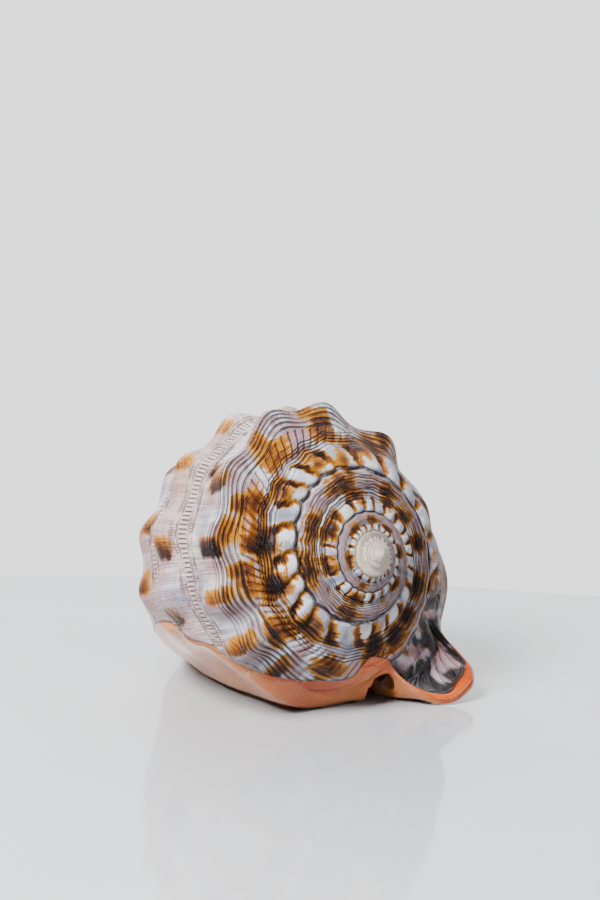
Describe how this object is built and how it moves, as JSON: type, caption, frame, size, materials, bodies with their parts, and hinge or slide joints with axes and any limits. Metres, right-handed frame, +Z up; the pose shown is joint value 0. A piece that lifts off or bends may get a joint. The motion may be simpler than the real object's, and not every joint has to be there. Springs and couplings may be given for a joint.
{
  "type": "bullmouth helmet shell",
  "caption": "Heavy knobbed sea-snail shell with a low coiled spire, a flat shield and a thick flared lip, lying on its narrow mouth.",
  "frame": {"origin": "centre of the shell's box on the surface that it rests on", "axes": "+Z up from the surface, -Y towards the spire's tip, +Y towards the narrow front end, the flared lip on the +X side"},
  "size_m": [0.1068, 0.1328, 0.0985],
  "materials": {
    "glazed_shell": "glossy glazed shell, orange lip and shield, grey-white back with brown blotches"
  },
  "bodies": {
    "root": {"shell": "glazed_shell"}
  },
  "joints": []
}
